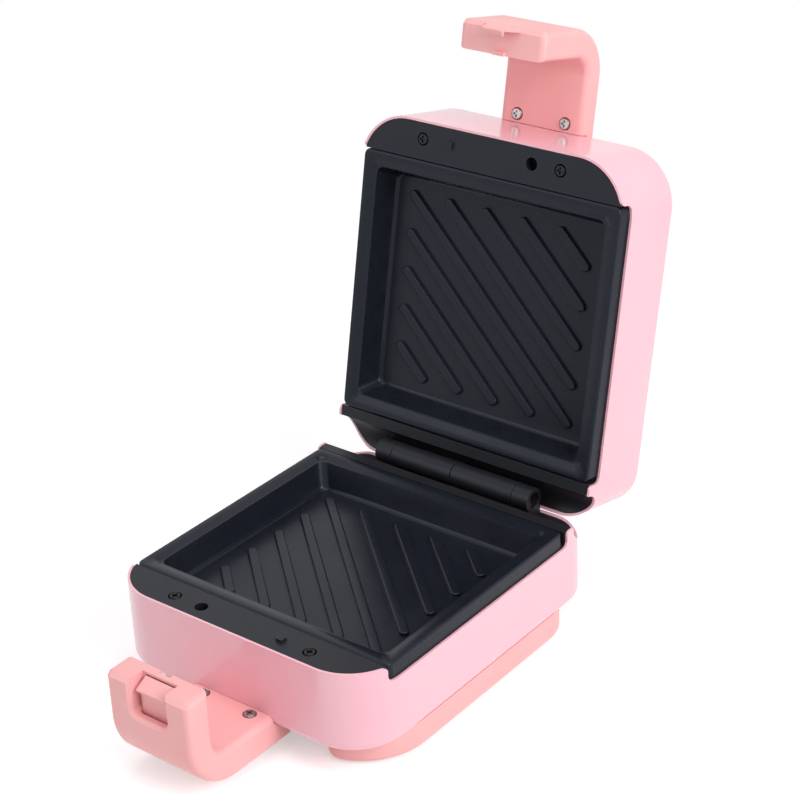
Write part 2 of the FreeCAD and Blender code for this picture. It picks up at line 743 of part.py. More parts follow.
# Handles
def handle(name, half):
    """An arm that reaches forward under the shell and turns to the parting plane."""
    body = new_body(name)
    depth, drop, thick = half.depth, half.drop, half.thick
    root_y = -d.shell_front - d.fit_gap
    bevel = half.edge_round * BEVEL_OF_ROUND
    lap_top, low, tip = -depth - d.fit_gap, -drop - thick, -FACE
    inner, front = -d.handle_inner, -d.handle_front
    side = [
        (root_y, -drop),
        (inner, -drop),
        (inner, tip),
        (front, tip),
        (front, low),
        (-d.handle_lap_end, low),
        (-d.handle_lap_end, lap_top),
        (root_y + bevel, lap_top),
        (root_y, lap_top + bevel),
    ]
    add(body, YZ, polygon(side), -HALF_HANDLE, d.handle_width)
    fillet(body, d.handle_crook, lambda e: crease_at(e, inner, -drop))
    fillet(body, half.grip_round, lambda e: crease_at(e, front, low))
    chamfer(body, d.handle_tip_chamfer, lambda e: crease_at(e, front, tip))

    def side_edge(edge):
        box = edge.BoundBox
        on_side = near(box.XMin, box.XMax) and near(abs(box.XMax), HALF_HANDLE)
        outside = box.YMax < root_y.value + TOUCH and not near(box.YMin, root_y)
        return on_side and (outside or near(box.ZMax, low))

    fillet(body, d.handle_side_round, side_edge)
    # slot for the shell's tab, and its screws
    half_tab = d.tab_width / 2 + d.fit_gap
    tab_room = rectangle(-half_tab, half_tab, lap_top, d.tab_thick + d.fit_gap - depth)
    cut(body, XZ, tab_room, -root_y - bevel, d.tab_reach + d.fit_gap + bevel, back=True)
    screws = both_sides(d.handle_screw_across, -d.handle_screw_back)
    cut(body, XY, discs(screws, d.pan_head_radius + d.fit_gap), -drop, d.pan_head_sink)
    cut(body, XY, discs(screws, SCREW_HOLE), -drop, thick - d.shell_wall)
    return body


def make_lower_handle():
    body = handle("lower_handle", BASE_HALF)
    half_notch = d.notch_width / 2
    thumb_notch = rectangle(-half_notch, half_notch, -d.notch_deep, ZERO)
    cut(body, XZ, thumb_notch, d.handle_front, d.handle_front - d.notch_back)
    notch_low = lambda e: near(e.CenterOfMass.z, -d.notch_deep) and near(abs(e.CenterOfMass.x), half_notch)
    fillet(body, d.notch_corner, lambda e: runs_along(e, Vector(0, 1, 0)) and notch_low(e))

    def notch_mouth(edge):
        box = edge.BoundBox
        in_front = near(box.YMin, -d.handle_front) and near(box.YMax, -d.handle_front)
        inside = abs(edge.CenterOfMass.x) < half_notch.value + TOUCH
        return in_front and inside and edge.CenterOfMass.z > -d.notch_deep.value - TOUCH

    chamfer(body, d.notch_flare, notch_mouth)
    # room that the latch rocks in, under a lip that stays at the back of the notch
    half_room = d.latch_width / 2 + d.latch_side_gap
    room = rectangle(-d.latch_room_front, -d.latch_room_back, -d.latch_room_deep, -d.latch_room_drop)
    cut(body, YZ, room, half_room, half_room * 2)
    half_pin = d.latch_pin_length / 2 + d.fit_gap
    pivot = [(-d.latch_pivot_back, -d.latch_pivot_drop)]
    cut(body, YZ, discs(pivot, d.latch_pin_radius + d.running_fit), half_pin, half_pin * 2)
    half_guide = d.guide_width / 2 + d.seat_gap
    guide_front = -d.handle_inner - d.guide_thick - d.seat_gap
    guide_room = rectangle(-half_guide, half_guide, guide_front, -d.handle_inner)
    cut(body, XY, guide_room, ZERO, d.guide_notch_deep)
    return body


def make_upper_handle():
    body = handle("upper_handle", LID_HALF)
    # hook that snaps under the latch's lip, on a lip of its own that reaches past the parting plane
    catch = d.latch_lip_drop + d.latch_lip_thick + d.hook_clear
    tooth = catch + d.hook_tooth
    front, back = -d.hook_front, d.hook_thick - d.hook_front
    half_lip, half_hook = d.notch_width / 2 - d.seat_gap, d.hook_width / 2
    lip = [
        (-half_lip, -d.hook_root),
        (half_lip, -d.hook_root),
        (half_lip, ZERO),
        (half_hook, d.hook_shoulder),
        (-half_hook, d.hook_shoulder),
        (-half_lip, ZERO),
    ]
    add(body, XZ, polygon(lip), -back, d.hook_thick)
    hook = [
        (front, -d.hook_root),
        (back, -d.hook_root),
        (back, catch),
        (back + d.hook_barb, catch),
        (back + d.hook_barb, catch + d.hook_tooth / 2),
        (back, tooth),
        (front + d.hook_thick / 2, tooth),
        (front, catch),
    ]
    add(body, YZ, polygon(hook), -half_hook, d.hook_width)
    # guide that drops into the rear notch of the lower handle
    half_guide = d.guide_width / 2
    guide = rectangle(-half_guide, half_guide, -d.handle_inner - d.guide_thick, -d.handle_inner)
    add(body, XY, guide, -FACE - d.guide_thick, d.guide_thick + FACE + d.guide_reach)
    return body


def make_latch_tongue():
    body = new_body("latch_tongue")
    lip_under = -d.latch_lip_drop - d.latch_lip_thick
    crown_under = -d.latch_crown_drop - d.latch_crown_thick
    side = [
        (-d.latch_crown, -d.latch_crown_drop),
        (-d.latch_lip, -d.latch_lip_drop),
        (-d.latch_lip, lip_under),
        (-d.latch_face, lip_under),
        (-d.latch_face, -d.latch_foot_drop),
        (-d.latch_back, -d.latch_foot_drop),
        (-d.latch_back, crown_under),
        (-d.latch_crown, crown_under),
    ]
    add(body, YZ, polygon(side), -d.latch_width / 2, d.latch_width)
    pivot = [(-d.latch_pivot_back, -d.latch_pivot_drop)]
    cut(body, YZ, discs(pivot, d.latch_pin_radius + d.running_fit), d.latch_width, d.latch_width * 2)
    return body


def make_latch_pin():
    body = new_body("latch_pin")
    pivot = [(-d.latch_pivot_back, -d.latch_pivot_drop)]
    add(body, YZ, discs(pivot, d.latch_pin_radius), -d.latch_pin_length / 2, d.latch_pin_length)
    return body


def make_latch_spring():
    """A bent leaf between the back of the latch's room and the tongue."""
    body = new_body("latch_spring")
    wall = -d.latch_room_back - d.contact_gap
    tongue = d.contact_gap - d.latch_back
    strip = [
        (wall, -d.spring_low),
        (tongue + d.spring_thick, -d.spring_middle),
        (wall, -d.spring_high),
        (wall - d.spring_thick, -d.spring_high),
        (tongue, -d.spring_middle),
        (wall - d.spring_thick, -d.spring_low),
    ]
    add(body, YZ, polygon(strip), -d.spring_width / 2, d.spring_width)
    return body


# Plinth and feet
def make_plinth():
    body = new_body("plinth")
    half = d.plinth_width / 2
    front, rear, top = -d.plinth_front, d.plinth_rear, -d.base_depth
    bottom = top - d.plinth_height
    corner, rear_corner, wall = d.plinth_corner, d.plinth_rear_corner, d.plinth_wall
    add(body, XY, rounded(-half, half, front, rear, corner, rear_corner), top, d.plinth_height, back=True)
    # bay with a flared mouth that the lower handle reaches into
    bay, mouth = d.bay_half, d.bay_half + d.bay_flare * 2
    flare_end, bay_end = front + d.bay_flare_deep, front + d.bay_deep
    outline = [
        (-mouth, front - d.bay_flare_deep),
        (mouth, front - d.bay_flare_deep),
        (bay, flare_end),
        (bay, bay_end),
        (-bay, bay_end),
        (-bay, flare_end),
    ]
    cut(body, XY, polygon(outline), top, d.plinth_height)
    upright = Vector(0, 0, 1)
    mouth_start = (d.bay_half + d.bay_flare).value
    fillet(body, d.bay_round, lambda e: runs_along(e, upright) and abs(e.CenterOfMass.x) < mouth_start)
    fillet(body, d.plinth_round, lambda e: level(e, bottom))
    inner = half - wall
    hollow = rounded(-inner, inner, bay_end + wall, rear - wall, wall, rear_corner - wall)
    cut(body, XY, hollow, top, d.plinth_height - wall)
    cores = both_sides(d.feet_across, -d.feet_front)
    cut(body, XY, discs(cores, d.core_radius), top, d.plinth_height - wall)
    screws = four_around(d.plinth_screw_across, d.plinth_screw_front, d.plinth_screw_rear)
    add(body, XY, discs(screws, d.plinth_post_radius), bottom + wall / 2, d.plinth_height - wall / 2)
    cut(body, XY, discs(screws, SCREW_HOLE), bottom, d.plinth_height, back=True)
    cut(body, XY, discs(screws, d.pan_head_radius + d.fit_gap), bottom, d.plinth_screw_sink, back=True)
    feet = four_around(d.feet_across, d.feet_front, d.feet_rear)
    cut(body, XY, discs(feet, d.foot_radius + d.fit_gap), bottom, d.foot_sink, back=True)
    return body


# Groups of loose solids
def cylinder(centre, low, radius, height):
    solid = doc.addObject("Part::Cylinder", "Cylinder")
    bind(solid, "Radius", radius)
    bind(solid, "Height", height)
    for axis, value in zip("xyz", (centre[0], centre[1], low)):
        bind(solid, "Placement.Base." + axis, value)
    return solid


def cone(centre, low, low_radius, high_radius, height):
    solid = doc.addObject("Part::Cone", "Cone")
    bind(solid, "Radius1", low_radius)
    bind(solid, "Radius2", high_radius)
    bind(solid, "Height", height)
    for axis, value in zip("xyz", (centre[0], centre[1], low)):
        bind(solid, "Placement.Base." + axis, value)
    return solid


def box(centre, low, length, width, height):
    solid = doc.addObject("Part::Box", "Box")
    bind(solid, "Length", length)
    bind(solid, "Width", width)
    bind(solid, "Height", height)
    corner = sized(centre[0]) - length / 2, sized(centre[1]) - width / 2, low
    for axis, value in zip("xyz", corner):
        bind(solid, "Placement.Base." + axis, value)
    return solid


def joined(solids):
    fused = doc.addObject("Part::MultiFuse", "Fuse")
    fused.Shapes = solids
    return fused


def without(solid, tool):
    rest = doc.addObject("Part::Cut", "Cut")
    rest.Base = solid
    rest.Tool = tool
    return rest


def group(name, solids):
    loose = doc.addObject("Part::Compound", name)
    loose.Links = solids
    loose.Label = name
    return loose


def screw(centre, seat, length, down):
    """A pan head screw with a cross recess: its head rests on the seat, its shank goes down or up from it."""
    small = d.pan_head_top_radius
    if down:
        head = cone(centre, seat, d.pan_head_radius, small, d.pan_head_height)
        shank = cylinder(centre, seat - length, d.screw_radius, length)
        cross_low = seat + d.pan_head_height - d.cross_deep
    else:
        head = cone(centre, seat - d.pan_head_height, small, d.pan_head_radius, d.pan_head_height)
        shank = cylinder(centre, seat, d.screw_radius, length)
        cross_low = seat - d.pan_head_height
    along = box(centre, cross_low, d.cross_length, d.cross_width, d.cross_deep)
    over = box(centre, cross_low, d.cross_width, d.cross_length, d.cross_deep)
    return without(joined([head, shank]), joined([along, over]))


def screws(name, centres, seat, length, down=True):
    return group(name, [screw(centre, seat, length, down) for centre in centres])


def panel_screws(name):
    centres = both_sides(d.panel_screw_across, -d.fitting_back)
    seat = -d.panel_drop - d.panel_screw_sink
    return screws(name, centres, seat, d.panel_depth + d.screw_bite)


def handle_screws(name, half):
    centres = both_sides(d.handle_screw_across, -d.handle_screw_back)
    return screws(name, centres, -half.drop - d.pan_head_sink, half.thick - d.shell_wall * 2)


def plate_screws(name):
    centres = four_around(d.plate_screw_across, d.plate_screw_along, d.plate_screw_along)
    seat = d.plate_screw_sink - d.panel_depth
    length = -seat - d.flange_drop + d.plate_screw_bite
    return screws(name, centres, seat, length, down=False)


def make_plinth_screws():
    centres = four_around(d.plinth_screw_across, d.plinth_screw_front, d.plinth_screw_rear)
    seat = d.plinth_screw_sink - d.base_depth - d.plinth_height
    length = d.plinth_height - d.plinth_screw_sink + d.screw_bite
    return screws("plinth_screws", centres, seat, length, down=False)


def make_feet():
    feet = four_around(d.feet_across, d.feet_front, d.feet_rear)
    height = d.foot_sink + d.foot_stand
    pads = [cylinder(centre, -PARTING, d.foot_radius, height) for centre in feet]
    return group("rubber_feet", pads)


# Heating and wiring pieces
def heater(name):
    """A bent tube under the plate, with a terminal pin at each end."""
    body = new_body(name)
    height = -PLATE_FLOOR - d.heater_radius - d.contact_gap
    leg, bend, end = d.heater_leg, -d.heater_bend_front, d.heater_end
    path = new_sketch(body, XY, height)
    right = path.addGeometry(Part.LineSegment(spot((leg, end)), spot((leg, bend))))
    circle = Part.Circle(spot((ZERO, bend)), Vector(0, 0, 1), leg.value)
    curve = path.addGeometry(Part.ArcOfCircle(circle, math.pi, 2 * math.pi))
    left = path.addGeometry(Part.LineSegment(spot((-leg, bend)), spot((-leg, end))))
    path.addConstraint(Sketcher.Constraint("Tangent", right, 2, curve, 2))
    path.addConstraint(Sketcher.Constraint("Coincident", curve, 1, left, 1))
    for line, first, last in ((right, (leg, end), (leg, bend)), (left, (-leg, bend), (-leg, end))):
        hold_point(path, line, 1, first)
        hold_point(path, line, 2, last)
    ring = new_sketch(body, XZ, -end)
    draw_circle(ring, (leg, height), d.heater_radius)
    tube = body.newObject("PartDesign::AdditivePipe", "Tube")
    tube.Profile = ring
    tube.Spine = (path, ["Edge1", "Edge2", "Edge3"])
    pins = both_sides(leg, height)
    add(body, XZ, discs(pins, d.terminal_radius), -end - d.terminal_reach, d.terminal_reach * 2)
    return body


def reflector(name):
    body = new_body(name)
    half, gauge, corner = d.tray_width / 2, d.tray_sheet, d.tray_corner
    front, rear = -d.tray_front, d.tray_rear
    add(body, XY, rounded(-half, half, front, rear, corner, corner), -PLATE_FLOOR, d.tray_height, back=True)
    inner, corner = half - gauge, corner - gauge
    hollow = rounded(-inner, inner, front + gauge, rear - gauge, corner, corner)
    cut(body, XY, hollow, -PLATE_FLOOR, d.tray_height - gauge)
    legs = both_sides(d.heater_leg, -PLATE_FLOOR - d.heater_radius - d.contact_gap)
    cut(body, XZ, discs(legs, d.heater_radius + d.fit_gap), -d.tray_rear, gauge * 2, back=True)
    return body


def make_thermostat():
    body = new_body("thermostat")
    add(body, XY, discs([(ZERO, ZERO)], d.thermostat_radius), -PLATE_FLOOR, d.thermostat_height, back=True)
    return body


def make_thermal_fuse():
    body = new_body("thermal_fuse")
    height = -PLATE_FLOOR - d.fuse_radius - d.contact_gap
    add(body, YZ, discs([(ZERO, height)], d.fuse_radius), -d.fuse_length / 2, d.fuse_length)
    add(body, YZ, discs([(ZERO, height)], d.fuse_wire_radius), -d.fuse_length, d.fuse_length * 2)
    return body


def make_terminal_block():
    body = new_body("terminal_block")
    centre, pitch = d.terminal_block_across, d.terminal_pitch
    half = pitch * len(TERMINALS) / 2
    front, rear = d.terminal_block_front, d.terminal_block_front + d.terminal_block_length
    floor = d.shell_wall - d.base_depth
    add(body, XY, rectangle(centre - half, centre + half, front, rear), floor, d.terminal_block_height)
    poles = [(centre + pitch * step, floor + d.terminal_entry_height) for step in TERMINALS]
    cut(body, XZ, discs(poles, d.terminal_radius), -rear, d.terminal_block_length, back=True)
    tops = [(centre + pitch * step, (front + rear) / 2) for step in TERMINALS]
    cut(body, XY, discs(tops, d.fuse_radius), floor + d.terminal_block_height, d.terminal_screw_deep)
    return body


def make_cord_gland():
    body = new_body("cord_gland")
    axis = [(d.gland_across, -d.gland_drop)]
    outer_end = d.shell_rear + d.gland_collar_thick
    inner_wall = d.shell_rear - d.shell_wall
    nut_end = inner_wall - d.gland_nut_thick
    add(body, XZ, discs(axis, d.gland_collar), -outer_end, d.gland_collar_thick)
    add(body, XZ, discs(axis, d.gland_neck), -d.shell_rear, d.shell_wall)
    add(body, XZ, discs(axis, d.gland_nut), -inner_wall, d.gland_nut_thick)
    cut(body, XZ, discs(axis, d.gland_bore), -outer_end, outer_end - nut_end, back=True)
    collar_edge = lambda e: near(e.BoundBox.YMin, outer_end) and near(e.BoundBox.XLength, d.gland_collar * 2)
    fillet(body, d.rim_round, collar_edge)
    return body


def make_lens():
    body = new_body("indicator_lens")
    centre = [(ZERO, -d.lens_front)]
    add(body, XY, discs(centre, d.lens_flange), -d.lid_depth - d.lens_flange_thick, d.lens_flange_thick)
    add(body, XY, discs(centre, d.lens_radius), -d.lid_depth - d.lens_flange_thick / 2, d.lens_length)
    return body


def make_lamp():
    body = new_body("indicator_lamp")
    start = d.lens_length - d.lid_depth - d.lens_flange_thick / 2
    add(body, XY, discs([(ZERO, -d.lens_front)], d.lamp_radius), start, d.lamp_length)
    return body


BASE = [
    make_base_shell(),
    panel("base_panel"),
    plate("lower_plate"),
    heater("lower_heater"),
    reflector("lower_reflector"),
    plate_screws("lower_plate_screws"),
    panel_screws("base_panel_screws"),
    make_plinth(),
    make_plinth_screws(),
    make_feet(),
    make_lower_handle(),
    handle_screws("lower_handle_screws", BASE_HALF),
    make_latch_tongue(),
    make_latch_pin(),
    make_latch_spring(),
    make_hinge_pin(),
    make_cord_gland(),
    make_terminal_block(),
    make_thermal_fuse(),
]
LID = [
    make_lid_shell(),
    panel("lid_panel"),
    plate("upper_plate"),
    heater("upper_heater"),
    reflector("upper_reflector"),
    plate_screws("upper_plate_screws"),
    panel_screws("lid_panel_screws"),
    make_upper_handle(),
    handle_screws("upper_handle_screws", LID_HALF),
    make_thermostat(),
    make_lens(),
    make_lamp(),
]

# The base stands on its feet. The lid is the same way up turned over its plane, then opened about the hinge.
stand = Placement(Vector(0, d.plate_centre_back.value, PARTING.value), Rotation())
turned_over = Placement(Vector(), Rotation(Vector(0, 1, 0), 180))
hinge = Vector(0, d.hinge_back.value, 0)
opened = Placement(Vector(), Rotation(Vector(1, 0, 0), -d.open_angle.value), hinge)
for thing in BASE:
    thing.Placement = stand
for thing in LID:
    thing.Placement = stand * opened * turned_over
doc.recompute()

for thing in doc.Objects:
    if {"Invalid", "Error"} & set(thing.State):
        raise RuntimeError("%s of %s failed" % (thing.Name, thing.InList))
whole = FreeCAD.BoundBox()
for thing in BASE + LID:
    shape = thing.Shape
    if shape.isNull() or not shape.isValid() or not shape.Solids:
        raise RuntimeError("no valid solid in " + thing.Label)
    shape.exportStep("parts/%s.step" % thing.Label)
    whole.add(shape.BoundBox)
    print("%-22s %3d solids %10.1f mm3" % (thing.Label, len(shape.Solids), shape.Volume), shape.BoundBox)
print("whole", whole)
print("hinge", stand.multVec(hinge))
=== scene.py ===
"""Finishes and studio for a small sandwich press: soft edges, moulded and coated surfaces, lamps, camera."""

import json
import math
from collections import namedtuple

import bpy
from bpy.props import FloatProperty, FloatVectorProperty, PointerProperty
from mathutils import Matrix, Vector

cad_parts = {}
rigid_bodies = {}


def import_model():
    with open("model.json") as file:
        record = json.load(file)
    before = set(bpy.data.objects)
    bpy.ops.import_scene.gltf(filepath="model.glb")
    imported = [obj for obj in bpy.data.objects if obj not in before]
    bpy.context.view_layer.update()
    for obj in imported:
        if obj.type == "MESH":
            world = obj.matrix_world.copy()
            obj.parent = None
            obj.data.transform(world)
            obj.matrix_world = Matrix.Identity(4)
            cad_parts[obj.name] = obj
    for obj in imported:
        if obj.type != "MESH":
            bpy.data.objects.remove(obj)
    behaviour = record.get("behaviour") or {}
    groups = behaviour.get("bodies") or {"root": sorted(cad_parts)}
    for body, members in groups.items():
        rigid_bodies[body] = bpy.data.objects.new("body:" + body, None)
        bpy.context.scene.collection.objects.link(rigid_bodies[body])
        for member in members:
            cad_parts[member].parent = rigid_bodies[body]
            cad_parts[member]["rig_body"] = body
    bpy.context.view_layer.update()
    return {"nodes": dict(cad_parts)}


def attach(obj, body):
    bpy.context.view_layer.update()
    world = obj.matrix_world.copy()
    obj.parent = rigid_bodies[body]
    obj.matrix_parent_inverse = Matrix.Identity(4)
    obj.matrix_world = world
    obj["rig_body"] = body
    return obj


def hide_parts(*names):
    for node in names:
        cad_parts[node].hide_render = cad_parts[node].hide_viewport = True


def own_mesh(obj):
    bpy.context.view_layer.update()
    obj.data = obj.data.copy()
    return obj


bl_info = {
    "name": "Sandwich press finishes",
    "version": (1, 0, 0),
    "blender": (4, 5, 0),
    "location": "View3D > Sidebar > Press",
    "description": "Softens the edges of the press, gives each piece its finish and sets up the studio",
    "category": "Object",
}

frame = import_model()

MM = 0.001
# points this near are one point, edges this sharp are rounded, and faces with this many corners are split
MERGE = 0.002 * MM
SHARP = math.radians(32)
MANY_CORNERS = 5
# specular level of black surfaces
BLACK_GLOSS = 0.24
# places of the sockets of a colour mix
MIX_FACTOR, MIX_FIRST, MIX_SECOND, MIX_RESULT = 0, 6, 7, 2

FLOOR_WIDTH = 9.0
FLOOR_DROP = 0.3 * MM
FLOOR_SHADE = 0.985
SENSOR_WIDTH = 36.0
NEAREST_SEEN, FARTHEST_SEEN = 0.05, 30.0
LAMP_AIM = Vector((0, 0, 0.09))
Lamp = namedtuple("Lamp", "place width")
LAMPS = {
    "key": Lamp(place=Vector((1.15, -0.15, 0.85)), width=0.9),
    "fill": Lamp(place=Vector((-0.85, -1.05, 0.75)), width=1.0),
    "top": Lamp(place=Vector((0.05, -0.1, 1.45)), width=1.1),
}


def colour_property(name, description, default):
    return FloatVectorProperty(
        name=name, description=description, default=default, subtype="COLOR", size=3, min=0, max=1
    )


def length_property(name, description, default):
    return FloatProperty(
        name=name, description=description, default=default, unit="LENGTH", precision=5, min=0
    )


def angle_property(name, description, degrees):
    return FloatProperty(name=name, description=description, default=math.radians(degrees), subtype="ANGLE")


def power_property(name, description, default):
    return FloatProperty(name=name, description=description, default=default, unit="POWER", min=0)


class PressColours(bpy.types.PropertyGroup):
    """Colours of the finishes."""

    shell: colour_property("Shell", "Gloss pink of both shells", (0.92, 0.515, 0.59))
    shell_deep: colour_property("Shell, deep", "Deeper pink that the gloss drifts to", (0.90, 0.48, 0.56))
    trim: colour_property("Trim", "Satin salmon of the handles and the plinth", (0.95, 0.475, 0.475))
    trim_deep: colour_property("Trim, deep", "Deeper salmon that the trim drifts to", (0.93, 0.44, 0.44))
    panel: colour_property("Panel", "Black of the moulded panels", (0.014, 0.014, 0.018))
    # Panel edges: painted highlight, a lighter black put on the panels' edges where light catches them;
    # blackened steel and rubber also drift to it at random
    panel_edge: colour_property("Panel edges", "Rubbed edges of the black panels", (0.030, 0.031, 0.036))
    coating: colour_property("Coating", "Dark coat of the cooking plates", (0.009, 0.011, 0.017))
    # Coating flecks: real pale flecks in the coat; the same colour is also a painted highlight along the
    # plates' edges and rib ends
    coating_fleck: colour_property("Coating flecks", "Fine pale flecks in the coat", (0.022, 0.026, 0.036))
    black_gloss: colour_property("Black gloss", "Tint of the sheen on black surfaces", (0.82, 0.88, 1.0))
    steel: colour_property("Plated steel", "Bright plated screws and pins", (0.50, 0.49, 0.49))
    steel_shade: colour_property("Plated steel, dull", "Dull patches on bright steel", (0.30, 0.295, 0.295))
    black_steel: colour_property("Blackened steel", "Blackened screws", (0.035, 0.035, 0.037))
    heater: colour_property("Heater tube", "Heat-tinted tube of the heaters", (0.16, 0.145, 0.135))
    reflector: colour_property("Reflector", "Bright pressed sheet under the heaters", (0.62, 0.62, 0.61))
    rubber: colour_property("Rubber", "Black rubber of the feet and the gland", (0.018, 0.018, 0.019))
    block: colour_property("Terminal block", "White terminal block", (0.72, 0.70, 0.66))
    lens: colour_property("Lens", "Red of the indicator lens", (0.62, 0.020, 0.012))
    lens_deep: colour_property("Lens, deep", "Deeper red that the lens drifts to", (0.496, 0.016, 0.0096))
    lamp: colour_property("Lamp", "Clear glass of the indicator lamp", (0.93, 0.92, 0.90))
    floor: colour_property("Floor", "Pale studio floor", (0.84, 0.84, 0.84))


class PressSizes(bpy.types.PropertyGroup):
    """Edge roundings, and how far the floor is seen."""

    shell_edge: length_property("Shell edge", "Rounding of the shells' rims", 0.35 * MM)
    trim_edge: length_property("Trim edge", "Rounding of the edges on the handles and plinth", 0.4 * MM)
    panel_edge: length_property("Panel edge", "Rounding of the edges on the panels", 0.3 * MM)
    plate_edge: length_property("Plate edge", "Rounding of the edges on the plates", 0.25 * MM)
    screw_edge: length_property("Screw edge", "Rounding of the screw heads", 0.22 * MM)
    spring_edge: length_property("Spring edge", "Rounding of the latch's leaf spring", 0.1 * MM)
    rubber_edge: length_property("Rubber edge", "Rounding of the feet, the gland and the lens", 0.35 * MM)
    floor_near: length_property("Floor, near", "How far the shadows on the floor reach in full", 0.26)
    floor_far: length_property("Floor, far", "Where the floor has faded to white", 0.60)


class PressStudio(bpy.types.PropertyGroup):
    """Camera and light."""

    camera_place: FloatVectorProperty(
        name="Camera place", description="Where the camera stands", default=(0.4760, -0.5687, 0.4907),
        subtype="TRANSLATION", size=3,
    )
    azimuth: angle_property("Azimuth", "How far the camera stands round to the right of the front", 38.99)
    elevation: angle_property("Elevation", "How far the camera looks down", 27.28)
    roll: angle_property("Roll", "How far the camera leans", -2.54)
    lens: FloatProperty(
        name="Lens", description="Focal length on a 36 mm sensor", default=94.34, unit="CAMERA"
    )
    key: power_property("Key lamp", "Soft lamp on the right", 13.0)
    fill: power_property("Fill lamp", "Soft lamp on the left front", 3.2)
    top: power_property("Top lamp", "Soft lamp overhead", 6.2)
    sky: FloatProperty(
        name="Sky", description="Strength of the even light from all round", default=0.36, min=0
    )
    floor_glow: FloatProperty(
        name="Floor glow", description="White added to the floor where it is seen", default=0.42
    )


# Shader helpers
def node(tree, kind, settings=None, **sockets):
    """A new node with its settings and the values of its named input sockets."""
    made = tree.nodes.new(kind)
    for name, value in (settings or {}).items():
        setattr(made, name, value)
    for name, value in sockets.items():
        made.inputs[name.replace("_", " ")].default_value = value
    return made


def join(tree, source, output, target, socket):
    tree.links.new(source.outputs[output], target.inputs[socket])


def new_group(name, inputs, output):
    """An empty shader group with float inputs and one float output."""
    group = bpy.data.node_groups.new(name, "ShaderNodeTree")
    for label, value in inputs.items():
        socket = group.interface.new_socket(name=label, in_out="INPUT", socket_type="NodeSocketFloat")
        socket.default_value = value
    group.interface.new_socket(name=output, in_out="OUTPUT", socket_type="NodeSocketFloat")
    return group, group.nodes.new("NodeGroupInput"), group.nodes.new("NodeGroupOutput")


def scale_of(group, start):
    """A node that turns the group's Size, in metres, into a texture scale."""
    scale = node(group, "ShaderNodeMath", {"operation": "DIVIDE"})
    scale.inputs[0].default_value = 1.0
    join(group, start, "Size", scale, 1)
    return scale


def surface_noise(group, start, place, output, detail, roughness=0.5):
    """Noise at the places that a node puts out, as coarse as the group's Size."""
    noise = node(group, "ShaderNodeTexNoise", Detail=detail, Roughness=roughness)
    join(group, place, output, noise, "Vector")
    join(group, scale_of(group, start), "Value", noise, "Scale")
    return noise


def surface_drift():
    """Slow change over a surface, from 0 to 1."""
    group, start, end = new_group("surface_drift", {"Size": 30 * MM}, "Drift")
    place = node(group, "ShaderNodeTexCoord")
    noise = surface_noise(group, start, place, "Object", detail=3.0, roughness=0.55)
    spread = node(group, "ShaderNodeMapRange", From_Min=0.32, From_Max=0.68)
    join(group, noise, "Fac", spread, "Value")
    join(group, spread, "Result", end, "Drift")
    return group


def moulded_grain():
    """Fine height of a moulded or sprayed surface."""
    group, start, end = new_group("moulded_grain", {"Size": 0.8 * MM}, "Height")
    place = node(group, "ShaderNodeTexCoord")
    noise = surface_noise(group, start, place, "Object", detail=4.0, roughness=0.6)
    join(group, noise, "Fac", end, "Height")
    return group


def rubbed_edge():
    """Mask that is 1 along edges, broken up a little, for a painted highlight where light catches the edges.
    """
    group, start, end = new_group("rubbed_edge", {"Width": 0.8 * MM, "Size": 6 * MM}, "Mask")
    rounded = node(group, "ShaderNodeBevel", {"samples": 6})
    surface = node(group, "ShaderNodeNewGeometry")
    dot = node(group, "ShaderNodeVectorMath", {"operation": "DOT_PRODUCT"})
    spread = node(group, "ShaderNodeMapRange", From_Min=0.99, From_Max=0.86)
    place = node(group, "ShaderNodeTexCoord")
    noise = surface_noise(group, start, place, "Object", detail=3.0)
    broken = node(group, "ShaderNodeMapRange", From_Min=0.25, From_Max=0.6, To_Min=0.45)
    both = node(group, "ShaderNodeMath", {"operation": "MULTIPLY"})
    join(group, start, "Width", rounded, "Radius")
    join(group, rounded, "Normal", dot, 0)
    join(group, surface, "Normal", dot, 1)
    join(group, dot, "Value", spread, "Value")
    join(group, noise, "Fac", broken, "Value")
    join(group, spread, "Result", both, 0)
    join(group, broken, "Result", both, 1)
    join(group, both, "Value", end, "Mask")
    return group


def drawn_lines():
    """Fine lines along X, as drawing, turning or wiping leaves them."""
    group, start, end = new_group("drawn_lines", {"Size": 0.5 * MM, "Stretch": 0.05}, "Lines")
    place = node(group, "ShaderNodeTexCoord")
    stretch = node(group, "ShaderNodeCombineXYZ", Y=1.0, Z=1.0)
    along = node(group, "ShaderNodeVectorMath", {"operation": "MULTIPLY"})
    noise = surface_noise(group, start, along, "Vector", detail=2.0)
    join(group, start, "Stretch", stretch, "X")
    join(group, place, "Object", along, 0)
    join(group, stretch, "Vector", along, 1)
    join(group, noise, "Fac", end, "Lines")
    return group


def coat_flecks():
    """Mask of small flecks in a sprayed coat."""
    group, start, end = new_group("coat_flecks", {"Size": 1.1 * MM}, "Mask")
    place = node(group, "ShaderNodeTexCoord")
    cells = node(group, "ShaderNodeTexVoronoi", Randomness=1.0)
    dots = node(group, "ShaderNodeMapRange", From_Min=0.22, From_Max=0.06)
    join(group, place, "Object", cells, "Vector")
    join(group, scale_of(group, start), "Value", cells, "Scale")
    join(group, cells, "Distance", dots, "Value")
    join(group, dots, "Result", end, "Mask")
    return group


def effect(tree, maker, **values):
    """A shared effect, made once, placed in a material with its own values."""
    group = bpy.data.node_groups.get(maker.__name__) or maker()
    placed = tree.nodes.new("ShaderNodeGroup")
    placed.node_tree = group
    for name, value in values.items():
        placed.inputs[name].default_value = value
    return placed


def opaque(colour):
    return (*colour, 1.0)


def new_surface(name):
    material = bpy.data.materials.new(name)
    material.use_nodes = True
    tree = material.node_tree
    return material, tree, tree.nodes["Principled BSDF"]


